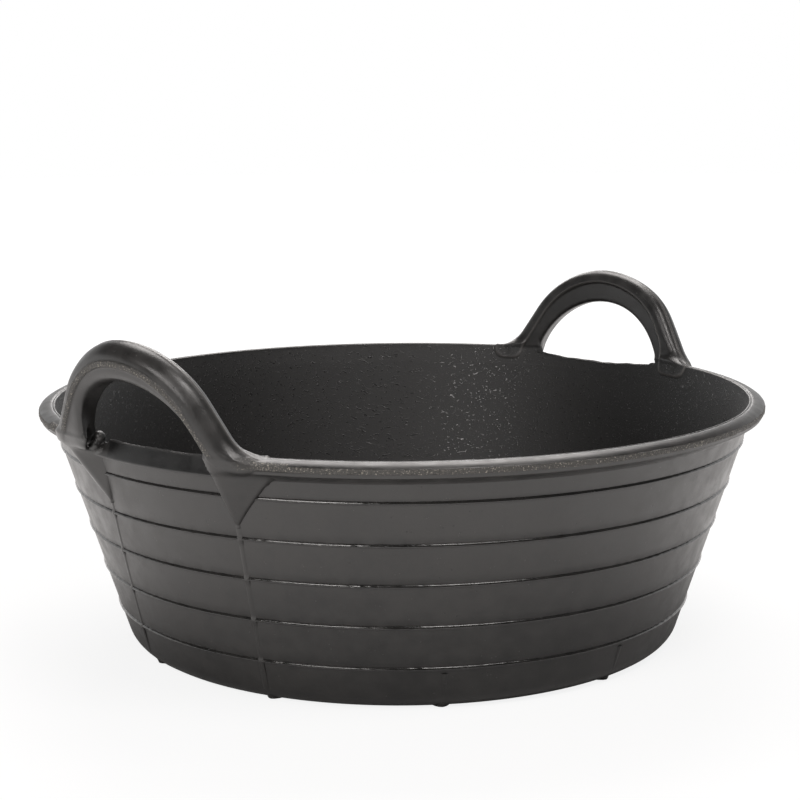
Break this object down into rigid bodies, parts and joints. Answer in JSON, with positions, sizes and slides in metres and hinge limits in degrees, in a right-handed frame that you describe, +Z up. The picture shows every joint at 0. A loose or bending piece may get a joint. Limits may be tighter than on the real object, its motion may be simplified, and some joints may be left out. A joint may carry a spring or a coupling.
{
  "type": "rubber feed tub",
  "caption": "Round flared rubber feed tub with lapped wall courses, a rolled rim and arched hand grips that flex on bending necks over open hand-holes.",
  "frame": {"origin": "on the ground at the middle of the flat underside", "axes": "+Z up along the tub's axis; the right grip stands at +X and the left one at -X"},
  "size_m": [0.5258, 0.5, 0.2308],
  "materials": {
    "wall_rubber": "moulded black rubber with a soft grey sheen, scuffs and dusty laps",
    "rim_rubber": "moulded black rubber with a rough hand-trimmed edge and pale specks",
    "grip_rubber": "moulded black rubber, polished along the crown by hands, with a rough flash line"
  },
  "bodies": {
    "tub": {"floor_blank": "wall_rubber", "heel_course": "wall_rubber", "wall_course_2": "wall_rubber", "wall_course_3": "wall_rubber", "wall_course_4": "wall_rubber", "wall_course_5": "wall_rubber", "wall_course_6": "wall_rubber", "front_rim": "rim_rubber", "rear_rim": "rim_rubber", "left_sill": "rim_rubber", "right_sill": "rim_rubber", "left_front_leg": "wall_rubber", "left_rear_leg": "wall_rubber", "right_front_leg": "wall_rubber", "right_rear_leg": "wall_rubber", "seam_ribs": "wall_rubber", "heel_ribs": "wall_rubber", "left_front_neck": "grip_rubber", "left_rear_neck": "grip_rubber", "right_front_neck": "grip_rubber", "right_rear_neck": "grip_rubber"},
    "left_handle": {"left_grip": "grip_rubber", "left_crown": "grip_rubber"},
    "right_handle": {"right_grip": "grip_rubber", "right_crown": "grip_rubber"}
  },
  "joints": [
    {"name": "left_handle_flex", "type": "hinge", "parent": "tub", "child": "left_handle", "pos_m": [-0.237, 0, 0.1725], "axis": [0, -1, 0], "range_deg": [-25, 25], "stiffness_Nm_per_rad": 12, "deforming": ["left_front_neck", "left_rear_neck"]},
    {"name": "right_handle_flex", "type": "hinge", "parent": "tub", "child": "right_handle", "pos_m": [0.237, 0, 0.1725], "axis": [0, 1, 0], "range_deg": [-25, 25], "stiffness_Nm_per_rad": 12, "deforming": ["right_front_neck", "right_rear_neck"]}
  ]
}
